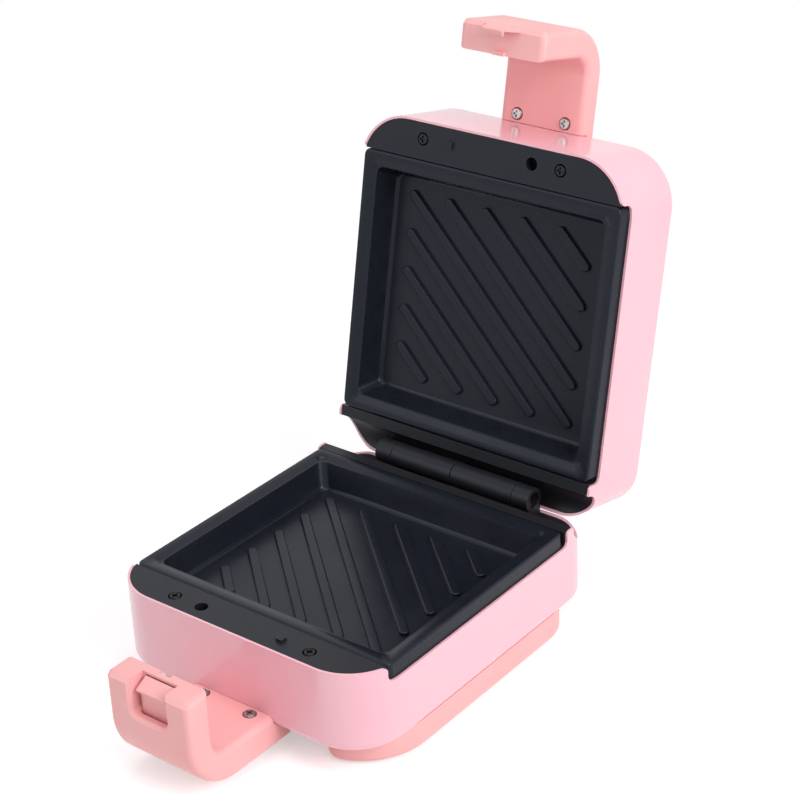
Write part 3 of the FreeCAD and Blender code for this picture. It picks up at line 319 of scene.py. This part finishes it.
def blend_colours(tree, first, second, mask, output):
    """Mix two colours by a node's mask. The first may be such a mix itself."""
    mix = node(tree, "ShaderNodeMix", {"data_type": "RGBA"})
    mix.inputs[MIX_SECOND].default_value = opaque(second)
    if isinstance(first, bpy.types.Node):
        join(tree, first, MIX_RESULT, mix, MIX_FIRST)
    else:
        mix.inputs[MIX_FIRST].default_value = opaque(first)
    join(tree, mask, output, mix, MIX_FACTOR)
    return mix


def paint(tree, shader, mix):
    join(tree, mix, MIX_RESULT, shader, "Base Color")


def vary_roughness(tree, shader, source, output, smoothest, roughest):
    spread = node(tree, "ShaderNodeMapRange", To_Min=smoothest, To_Max=roughest)
    join(tree, source, output, spread, "Value")
    join(tree, spread, "Result", shader, "Roughness")


def raise_height(tree, shader, source, output, depth, strength):
    bump = node(tree, "ShaderNodeBump", Distance=depth, Strength=strength)
    join(tree, source, output, bump, "Height")
    join(tree, bump, "Normal", shader, "Normal")


def quiet_gloss(shader, colours):
    """The weak, cool sheen of a black surface."""
    shader.inputs["Specular IOR Level"].default_value = BLACK_GLOSS
    shader.inputs["Specular Tint"].default_value = opaque(colours.black_gloss)


# Finishes
def glossy_pink_shell(colours):
    material, tree, shader = new_surface("glossy_pink_shell")
    drift = effect(tree, surface_drift, Size=60 * MM)
    grain = effect(tree, moulded_grain, Size=2.5 * MM)
    paint(tree, shader, blend_colours(tree, colours.shell, colours.shell_deep, drift, "Drift"))
    vary_roughness(tree, shader, drift, "Drift", smoothest=0.17, roughest=0.25)
    raise_height(tree, shader, grain, "Height", depth=0.03 * MM, strength=0.12)
    shader.inputs["Coat Weight"].default_value = 0.35
    shader.inputs["Coat Roughness"].default_value = 0.06
    return material


def satin_salmon_trim(colours):
    material, tree, shader = new_surface("satin_salmon_trim")
    drift = effect(tree, surface_drift, Size=35 * MM)
    grain = effect(tree, moulded_grain, Size=0.6 * MM)
    paint(tree, shader, blend_colours(tree, colours.trim, colours.trim_deep, drift, "Drift"))
    vary_roughness(tree, shader, drift, "Drift", smoothest=0.38, roughest=0.48)
    raise_height(tree, shader, grain, "Height", depth=0.04 * MM, strength=0.25)
    return material


def grained_black_panel(colours):
    material, tree, shader = new_surface("grained_black_panel")
    drift = effect(tree, surface_drift, Size=20 * MM)
    grain = effect(tree, moulded_grain, Size=0.5 * MM)
    # painted highlight: the panel's edges are lightened where light would catch them
    edge = effect(tree, rubbed_edge, Width=0.7 * MM)
    paint(tree, shader, blend_colours(tree, colours.panel, colours.panel_edge, edge, "Mask"))
    vary_roughness(tree, shader, drift, "Drift", smoothest=0.34, roughest=0.44)
    raise_height(tree, shader, grain, "Height", depth=0.06 * MM, strength=0.25)
    quiet_gloss(shader, colours)
    return material


def ribbed_plate_coating(colours):
    material, tree, shader = new_surface("ribbed_plate_coating")
    drift = effect(tree, surface_drift, Size=25 * MM)
    grain = effect(tree, moulded_grain, Size=0.9 * MM)
    flecks = effect(tree, coat_flecks, Size=1.3 * MM)
    # painted highlight: the plate's edges and rib ends take the pale fleck colour
    edge = effect(tree, rubbed_edge, Width=0.8 * MM)
    coat = blend_colours(tree, colours.coating, colours.coating_fleck, flecks, "Mask")
    paint(tree, shader, blend_colours(tree, coat, colours.coating_fleck, edge, "Mask"))
    vary_roughness(tree, shader, drift, "Drift", smoothest=0.22, roughest=0.32)
    raise_height(tree, shader, grain, "Height", depth=0.05 * MM, strength=0.22)
    quiet_gloss(shader, colours)
    return material


def worked_metal(name, colour, dull, smoothest, roughest, line_size, line_stretch):
    material, tree, shader = new_surface(name)
    lines = effect(tree, drawn_lines, Size=line_size, Stretch=line_stretch)
    drift = effect(tree, surface_drift, Size=4 * MM)
    paint(tree, shader, blend_colours(tree, colour, dull, drift, "Drift"))
    vary_roughness(tree, shader, lines, "Lines", smoothest, roughest)
    raise_height(tree, shader, lines, "Lines", depth=0.03 * MM, strength=0.3)
    shader.inputs["Metallic"].default_value = 1.0
    return material


def plated_steel(colours):
    return worked_metal(
        "plated_steel", colours.steel, colours.steel_shade,
        smoothest=0.16, roughest=0.34, line_size=0.5 * MM, line_stretch=0.3,
    )


def blackened_steel(colours):
    return worked_metal(
        "blackened_steel", colours.black_steel, colours.panel_edge,
        smoothest=0.3, roughest=0.5, line_size=0.5 * MM, line_stretch=0.5,
    )


def heat_tinted_tube(colours):
    return worked_metal(
        "heat_tinted_tube", colours.heater, colours.black_steel,
        smoothest=0.35, roughest=0.55, line_size=1.0 * MM, line_stretch=0.5,
    )


def bright_reflector(colours):
    return worked_metal(
        "bright_reflector", colours.reflector, colours.steel_shade,
        smoothest=0.15, roughest=0.35, line_size=1.0 * MM, line_stretch=0.04,
    )


def plain_moulding(name, colour, shade, smoothest, roughest, grain_size):
    material, tree, shader = new_surface(name)
    drift = effect(tree, surface_drift, Size=12 * MM)
    grain = effect(tree, moulded_grain, Size=grain_size)
    paint(tree, shader, blend_colours(tree, colour, shade, drift, "Drift"))
    vary_roughness(tree, shader, drift, "Drift", smoothest, roughest)
    raise_height(tree, shader, grain, "Height", depth=0.06 * MM, strength=0.35)
    return material


def matt_rubber(colours):
    return plain_moulding(
        "matt_rubber", colours.rubber, colours.panel_edge, smoothest=0.62, roughest=0.8, grain_size=0.7 * MM
    )


def white_moulding(colours):
    return plain_moulding(
        "white_moulding", colours.block, colours.reflector, smoothest=0.35, roughest=0.5, grain_size=0.6 * MM
    )


def red_lens(colours):
    material, tree, shader = new_surface("red_lens")
    drift = effect(tree, surface_drift, Size=3 * MM)
    paint(tree, shader, blend_colours(tree, colours.lens, colours.lens_deep, drift, "Drift"))
    vary_roughness(tree, shader, drift, "Drift", smoothest=0.06, roughest=0.14)
    shader.inputs["Transmission Weight"].default_value = 0.25
    shader.inputs["IOR"].default_value = 1.49
    return material


def lamp_glass(colours):
    material, tree, shader = new_surface("clear_lamp_glass")
    drift = effect(tree, surface_drift, Size=4 * MM)
    shader.inputs["Base Color"].default_value = opaque(colours.lamp)
    vary_roughness(tree, shader, drift, "Drift", smoothest=0.02, roughest=0.08)
    shader.inputs["Transmission Weight"].default_value = 0.9
    return material


def shared_finish(maker):
    """A finish, made the first time it is asked for."""
    for material in bpy.data.materials:
        if material.get("finish") == maker.__name__:
            return material
    made = maker(bpy.context.scene.press_colours)
    made["finish"] = maker.__name__
    return made


# Modelling helpers
def only(piece):
    """Select one object and make it active."""
    bpy.ops.object.select_all(action="DESELECT")
    piece.select_set(True)
    bpy.context.view_layer.objects.active = piece


def merged_copy(node_name, name):
    """A copy of a CAD node with its loose triangles merged."""
    piece = bpy.data.objects.new(name, frame["nodes"][node_name].data.copy())
    bpy.context.scene.collection.objects.link(piece)
    only(piece)
    bpy.ops.mesh.customdata_custom_splitnormals_clear()
    bpy.ops.object.mode_set(mode="EDIT")
    bpy.ops.mesh.select_all(action="SELECT")
    bpy.ops.mesh.remove_doubles(threshold=MERGE)
    bpy.ops.object.mode_set(mode="OBJECT")
    return piece


def soften(piece, width, segments):
    """Round the sharp edges of a piece, shade it smooth and split faces that have many corners."""
    only(piece)
    bpy.ops.object.shade_smooth()
    bevel = piece.modifiers.new("soft_edges", "BEVEL")
    bevel.width = width
    bevel.segments = segments
    bevel.limit_method = "ANGLE"
    bevel.angle_limit = SHARP
    bevel.harden_normals = True
    bevel.miter_outer = "MITER_ARC"
    bpy.ops.object.modifier_apply(modifier=bevel.name)
    split = piece.modifiers.new("split_faces", "TRIANGULATE")
    split.min_vertices = MANY_CORNERS
    split.keep_custom_normals = True
    bpy.ops.object.modifier_apply(modifier=split.name)


def softened(node_name, width, maker, segments=2):
    """A copy of a CAD node with soft edges and its finish, which stands for the node."""
    piece = merged_copy(node_name, node_name + "_softened")
    soften(piece, width, segments)
    piece.data.materials.clear()
    piece.data.materials.append(shared_finish(maker))
    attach(piece, frame["nodes"][node_name]["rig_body"])
    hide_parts(node_name)
    return piece


def keep_shape(node_name, maker):
    """Leave a CAD node as it is and give it a better finish."""
    for place in frame["nodes"][node_name].material_slots:
        place.material = shared_finish(maker)


class PRESS_OT_shells(bpy.types.Operator):
    """Gloss pink base and lid shells with rounded rims"""

    bl_idname = "press.shells"
    bl_label = "Shells"

    def execute(self, context):
        for node_name in ("base_shell", "lid_shell"):
            softened(node_name, context.scene.press_sizes.shell_edge, glossy_pink_shell)
        return {"FINISHED"}


class PRESS_OT_handles(bpy.types.Operator):
    """Satin handles, and the latch tongue with its pin and leaf spring"""

    bl_idname = "press.handles"
    bl_label = "Handles and latch"

    def execute(self, context):
        sizes = context.scene.press_sizes
        for node_name in ("lower_handle", "upper_handle", "latch_tongue"):
            softened(node_name, sizes.trim_edge, satin_salmon_trim)
        keep_shape("latch_pin", plated_steel)
        spring = softened("latch_spring", sizes.spring_edge, plated_steel)
        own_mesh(spring)
        return {"FINISHED"}


class PRESS_OT_plinth(bpy.types.Operator):
    """Satin plinth under the base"""

    bl_idname = "press.plinth"
    bl_label = "Plinth"

    def execute(self, context):
        softened("plinth", context.scene.press_sizes.trim_edge, satin_salmon_trim)
        return {"FINISHED"}


class PRESS_OT_panels(bpy.types.Operator):
    """Black panels with their hinge barrels"""

    bl_idname = "press.panels"
    bl_label = "Panels"

    def execute(self, context):
        for node_name in ("base_panel", "lid_panel"):
            softened(node_name, context.scene.press_sizes.panel_edge, grained_black_panel)
        return {"FINISHED"}


class PRESS_OT_plates(bpy.types.Operator):
    """Coated cooking plates with their ribs"""

    bl_idname = "press.plates"
    bl_label = "Cooking plates"

    def execute(self, context):
        for node_name in ("lower_plate", "upper_plate"):
            softened(node_name, context.scene.press_sizes.plate_edge, ribbed_plate_coating)
        return {"FINISHED"}


class PRESS_OT_screws(bpy.types.Operator):
    """Screws with rounded heads, and the hinge pin"""

    bl_idname = "press.screws"
    bl_label = "Screws and hinge pin"

    def execute(self, context):
        edge = context.scene.press_sizes.screw_edge
        for node_name in ("lower_handle_screws", "upper_handle_screws"):
            softened(node_name, edge, plated_steel, segments=3)
        for node_name in ("base_panel_screws", "lid_panel_screws", "plinth_screws", "hinge_pin"):
            softened(node_name, edge, blackened_steel, segments=3)
        for node_name in ("lower_plate_screws", "upper_plate_screws"):
            keep_shape(node_name, blackened_steel)
        return {"FINISHED"}


class PRESS_OT_feet(bpy.types.Operator):
    """Rubber feet and the cord gland"""

    bl_idname = "press.feet"
    bl_label = "Feet and cord gland"

    def execute(self, context):
        for node_name in ("rubber_feet", "cord_gland"):
            softened(node_name, context.scene.press_sizes.rubber_edge, matt_rubber, segments=3)
        return {"FINISHED"}


class PRESS_OT_indicator(bpy.types.Operator):
    """Red indicator lens with its lamp"""

    bl_idname = "press.indicator"
    bl_label = "Indicator"

    def execute(self, context):
        softened("indicator_lens", context.scene.press_sizes.rubber_edge, red_lens, segments=3)
        keep_shape("indicator_lamp", lamp_glass)
        return {"FINISHED"}


class PRESS_OT_inside(bpy.types.Operator):
    """Heaters, reflectors and wiring inside the halves"""

    bl_idname = "press.inside"
    bl_label = "Pieces inside"

    def execute(self, context):
        for node_name in ("lower_heater", "upper_heater", "thermostat", "thermal_fuse"):
            keep_shape(node_name, heat_tinted_tube)
        for node_name in ("lower_reflector", "upper_reflector"):
            keep_shape(node_name, bright_reflector)
        keep_shape("terminal_block", white_moulding)
        return {"FINISHED"}


# Studio
def either(tree, first, first_output, second, second_output):
    """The larger of two values."""
    larger = node(tree, "ShaderNodeMath", {"operation": "MAXIMUM"})
    join(tree, first, first_output, larger, 0)
    join(tree, second, second_output, larger, 1)
    return larger


def seen_directly(tree):
    """1 where the camera, a reflection or glass looks at the background, and 0 for light on the object."""
    path = node(tree, "ShaderNodeLightPath")
    seen_or_mirrored = either(tree, path, "Is Camera Ray", path, "Is Glossy Ray")
    return either(tree, seen_or_mirrored, "Value", path, "Is Transmission Ray")


def glowing_floor(tree, shader, seen, glow):
    """The lit floor, with white added where it is seen."""
    share = node(tree, "ShaderNodeMath", {"operation": "MULTIPLY"})
    share.inputs[1].default_value = glow
    white = node(tree, "ShaderNodeEmission")
    both = node(tree, "ShaderNodeAddShader")
    join(tree, seen, "Value", share, 0)
    join(tree, share, "Value", white, "Strength")
    join(tree, shader, "BSDF", both, 0)
    join(tree, white, "Emission", both, 1)
    return both


def fading_floor(tree, near_floor, seen, sizes):
    """The floor, which turns white with its distance from the press where it is seen."""
    place = node(tree, "ShaderNodeTexCoord")
    distance = node(tree, "ShaderNodeVectorMath", {"operation": "LENGTH"})
    fade = node(tree, "ShaderNodeMapRange", From_Min=sizes.floor_near, From_Max=sizes.floor_far)
    fade_seen = node(tree, "ShaderNodeMath", {"operation": "MULTIPLY"})
    white = node(tree, "ShaderNodeEmission")
    faded = node(tree, "ShaderNodeMixShader")
    join(tree, place, "Object", distance, 0)
    join(tree, distance, "Value", fade, "Value")
    join(tree, fade, "Result", fade_seen, 0)
    join(tree, seen, "Value", fade_seen, 1)
    join(tree, fade_seen, "Value", faded, 0)
    join(tree, near_floor, "Shader", faded, 1)
    join(tree, white, "Emission", faded, 2)
    return faded


def pale_floor(colours, sizes, studio):
    material, tree, shader = new_surface("pale_floor")
    drift = effect(tree, surface_drift, Size=400 * MM)
    shade = tuple(part * FLOOR_SHADE for part in colours.floor)
    paint(tree, shader, blend_colours(tree, colours.floor, shade, drift, "Drift"))
    shader.inputs["Roughness"].default_value = 0.9
    shader.inputs["Specular IOR Level"].default_value = 0.1
    seen = seen_directly(tree)
    near_floor = glowing_floor(tree, shader, seen, studio.floor_glow)
    whole_floor = fading_floor(tree, near_floor, seen, sizes)
    join(tree, whole_floor, "Shader", tree.nodes["Material Output"], "Surface")
    return material


def add_floor(finish):
    bpy.ops.object.select_all(action="DESELECT")
    bpy.ops.mesh.primitive_plane_add(size=FLOOR_WIDTH, location=(0, 0, -FLOOR_DROP))
    floor = bpy.context.object
    floor.name = "studio_floor"
    floor.data.materials.append(finish)


def light_sky(studio):
    """Even light from all round, and a white background where it is seen."""
    world = bpy.data.worlds.new("studio_sky")
    bpy.context.scene.world = world
    world.use_nodes = True
    tree = world.node_tree
    sky = tree.nodes["Background"]
    sky.inputs["Color"].default_value = (1, 1, 1, 1)
    strength = node(tree, "ShaderNodeMapRange", To_Min=studio.sky, To_Max=1.0)
    join(tree, seen_directly(tree), "Value", strength, "Value")
    join(tree, strength, "Result", sky, "Strength")


def add_lamp(name, lamp, power):
    bpy.ops.object.light_add(type="AREA", location=lamp.place)
    added = bpy.context.object
    added.name = name + "_lamp"
    added.data.shape = "DISK"
    added.data.size = lamp.width
    added.data.energy = power
    added.rotation_mode = "QUATERNION"
    added.rotation_quaternion = (LAMP_AIM - lamp.place).to_track_quat("-Z", "Y")


def add_camera(studio):
    bpy.ops.object.camera_add()
    camera = bpy.context.object
    camera.name = "photo_camera"
    turn, rise, lean = studio.azimuth, studio.elevation, studio.roll
    back = Vector((math.sin(turn) * math.cos(rise), -math.cos(turn) * math.cos(rise), math.sin(rise)))
    level_right = Vector((math.cos(turn), math.sin(turn), 0))
    level_up = back.cross(level_right)
    right = math.cos(lean) * level_right + math.sin(lean) * level_up
    up = math.cos(lean) * level_up - math.sin(lean) * level_right
    axes = Matrix((right, up, back)).transposed().to_4x4()
    camera.matrix_world = Matrix.Translation(Vector(studio.camera_place)) @ axes
    camera.data.sensor_width = SENSOR_WIDTH
    camera.data.lens = studio.lens
    camera.data.clip_start = NEAREST_SEEN
    camera.data.clip_end = FARTHEST_SEEN
    bpy.context.scene.camera = camera


class PRESS_OT_studio(bpy.types.Operator):
    """Pale floor, soft lamps, white surroundings and the photograph's camera"""

    bl_idname = "press.studio"
    bl_label = "Studio"

    def execute(self, context):
        scene = context.scene
        studio = scene.press_studio
        scene.view_settings.view_transform = "Standard"
        add_floor(pale_floor(scene.press_colours, scene.press_sizes, studio))
        light_sky(studio)
        for name, lamp in LAMPS.items():
            add_lamp(name, lamp, getattr(studio, name))
        add_camera(studio)
        return {"FINISHED"}


STEPS = (
    PRESS_OT_shells,
    PRESS_OT_handles,
    PRESS_OT_plinth,
    PRESS_OT_panels,
    PRESS_OT_plates,
    PRESS_OT_screws,
    PRESS_OT_feet,
    PRESS_OT_indicator,
    PRESS_OT_inside,
    PRESS_OT_studio,
)


class PRESS_PT_sidebar(bpy.types.Panel):
    """Sizes, colours and steps of the press"""

    bl_idname = "PRESS_PT_sidebar"
    bl_label = "Sandwich press"
    bl_space_type = "VIEW_3D"
    bl_region_type = "UI"
    bl_category = "Press"

    def draw(self, context):
        for settings in (context.scene.press_colours, context.scene.press_sizes, context.scene.press_studio):
            column = self.layout.column(align=True)
            for name in settings.__annotations__:
                column.prop(settings, name)
        for step in STEPS:
            self.layout.operator(step.bl_idname)


SETTINGS = {"press_colours": PressColours, "press_sizes": PressSizes, "press_studio": PressStudio}


def register():
    for name, settings in SETTINGS.items():
        bpy.utils.register_class(settings)
        setattr(bpy.types.Scene, name, PointerProperty(type=settings))
    for thing in (*STEPS, PRESS_PT_sidebar):
        bpy.utils.register_class(thing)


def unregister():
    for thing in (PRESS_PT_sidebar, *reversed(STEPS)):
        bpy.utils.unregister_class(thing)
    for name, settings in SETTINGS.items():
        delattr(bpy.types.Scene, name)
        bpy.utils.unregister_class(settings)


def main():
    register()
    bpy.ops.press.shells()
    bpy.ops.press.handles()
    bpy.ops.press.plinth()
    bpy.ops.press.panels()
    bpy.ops.press.plates()
    bpy.ops.press.screws()
    bpy.ops.press.feet()
    bpy.ops.press.indicator()
    bpy.ops.press.inside()
    bpy.ops.press.studio()


if __name__ == "__main__":
    main()
